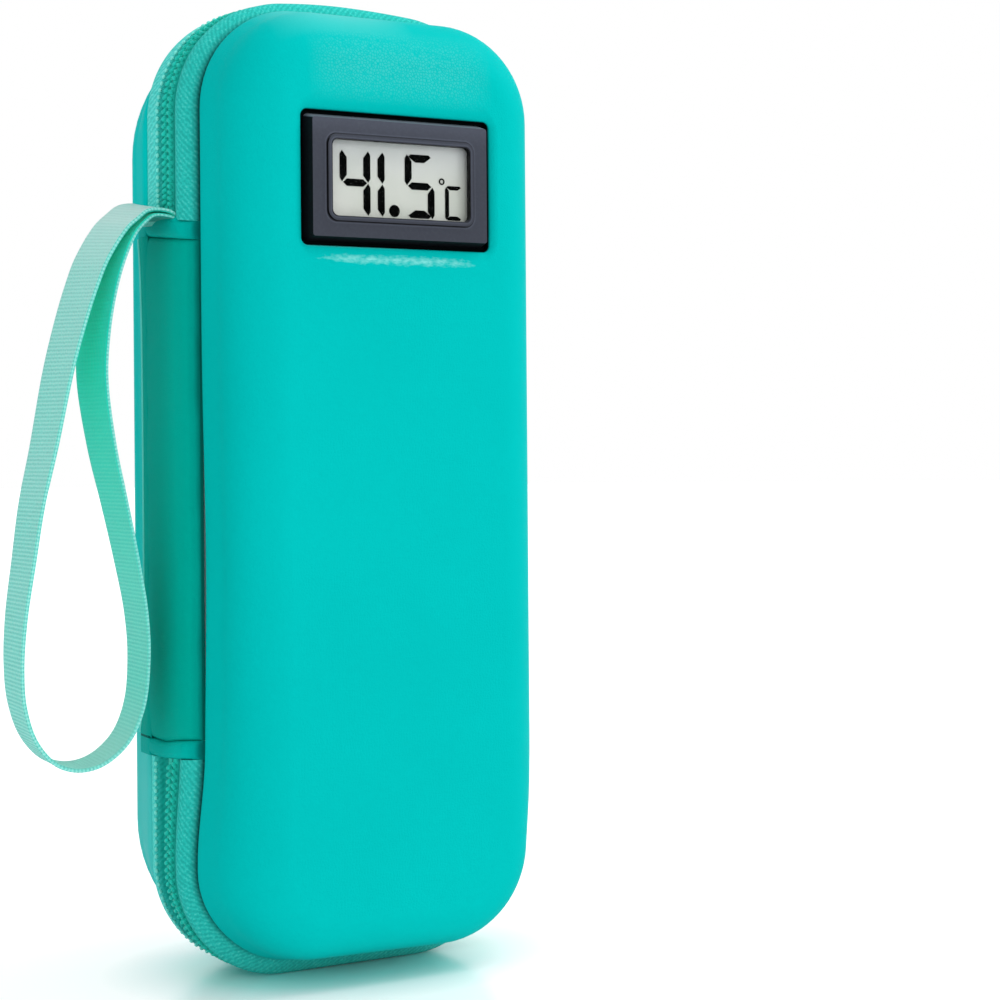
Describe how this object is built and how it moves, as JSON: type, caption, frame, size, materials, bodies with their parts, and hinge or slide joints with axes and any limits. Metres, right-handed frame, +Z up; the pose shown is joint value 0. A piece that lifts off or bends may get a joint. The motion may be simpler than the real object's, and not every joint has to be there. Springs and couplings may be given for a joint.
{
  "type": "insulin cooling case",
  "caption": "Zip-round hard case that keeps insulin cool: two moulded halves on a padded spine, a thermometer in the lid, a wrist strap and cooling packs inside",
  "frame": {"origin": "middle of the flat foot that the zipper belt stands on, in the zipper's parting plane", "axes": "+Z up along the case, -Y out of the lid with the display, +Y out of the back, -X towards the spine and the strap"},
  "size_m": [0.1309, 0.0611, 0.2255],
  "materials": {
    "shell_skin": "fine leather grain, satin",
    "spine_leather": "fine leather grain, satin",
    "zip_tape": "woven twill",
    "zip_coil": "moulded coil",
    "strap_webbing": "woven ribs",
    "lining": "laminated insulating cloth",
    "elastic": "woven elastic",
    "black_plastic": "fine matte",
    "clear_window": "clear, flat",
    "lcd_glass": "grey reflective",
    "circuit_board": "solder mask",
    "cell_steel": "plated",
    "dark_rubber": "matte",
    "slider_metal": "colour-matched enamel",
    "pack_plastic": "smooth blown plastic"
  },
  "bodies": {
    "base": {"back_shell": "shell_skin", "back_liner": "lining", "back_zip_tape": "zip_tape", "back_zip_coil": "zip_coil", "back_pack_band": "elastic"},
    "spine": {"spine_panel": "spine_leather", "spine_hem_top": "spine_leather", "spine_hem_bottom": "spine_leather", "spine_liner": "lining"},
    "lid": {"front_shell": "shell_skin", "front_liner": "lining", "front_zip_tape": "zip_tape", "front_zip_coil": "zip_coil", "front_pack_band": "elastic", "display_bezel": "black_plastic", "display_window": "clear_window", "lcd_panel": "lcd_glass", "display_connector": "dark_rubber", "display_board": "circuit_board", "battery_cell_left": "cell_steel", "battery_cell_right": "cell_steel", "display_rear_case": "black_plastic", "probe_gland": "dark_rubber"},
    "door": {"battery_door": "black_plastic"},
    "strap": {"wrist_strap": "strap_webbing"},
    "slider_upper": {"upper_slider": "slider_metal"},
    "slider_lower": {"lower_slider": "slider_metal"},
    "tab_upper": {"upper_pull_tab": "slider_metal"},
    "tab_lower": {"lower_pull_tab": "slider_metal"},
    "pack_front": {"front_ice_pack": "pack_plastic"},
    "pack_back": {"back_ice_pack": "pack_plastic"}
  },
  "joints": [
    {"name": "spine_fold", "type": "hinge", "parent": "base", "child": "spine", "pos_m": [-0.0448, 0.0115, 0.1125], "axis": [0, 0, -1], "range_deg": [0, 90]},
    {"name": "lid_fold", "type": "hinge", "parent": "spine", "child": "lid", "pos_m": [-0.0448, -0.0115, 0.1125], "axis": [0, 0, -1], "range_deg": [0, 90]},
    {"name": "strap_swing", "type": "hinge", "parent": "spine", "child": "strap", "pos_m": [-0.04615, 0.0035, 0.1749], "axis": [0, 1, 0], "range_deg": [0, 90]},
    {"name": "upper_slider_slide", "type": "slide", "parent": "base", "child": "slider_upper", "axis": [0, 0, 1], "range_m": [0, 0.07]},
    {"name": "lower_slider_slide", "type": "slide", "parent": "base", "child": "slider_lower", "axis": [0, 0, -1], "range_m": [0, 0.07]},
    {"name": "upper_tab_swing", "type": "hinge", "parent": "slider_upper", "child": "tab_upper", "pos_m": [0.04727, 0, 0.11957], "axis": [0, 1, 0], "range_deg": [0, 110]},
    {"name": "lower_tab_swing", "type": "hinge", "parent": "slider_lower", "child": "tab_lower", "pos_m": [0.04727, 0, 0.10543], "axis": [0, -1, 0], "range_deg": [0, 95]},
    {"name": "front_pack_slide", "type": "slide", "parent": "lid", "child": "pack_front", "axis": [0, 0, 1], "range_m": [0, 0.026]},
    {"name": "back_pack_slide", "type": "slide", "parent": "base", "child": "pack_back", "axis": [0, 0, 1], "range_m": [0, 0.055]},
    {"name": "battery_door_slide", "type": "slide", "parent": "lid", "child": "door", "axis": [0, 1, 0], "range_m": [0, 0.008]}
  ],
  "couplings": [
    {"joint": "spine_fold", "follows": "lid_fold", "ratio": 1}
  ]
}
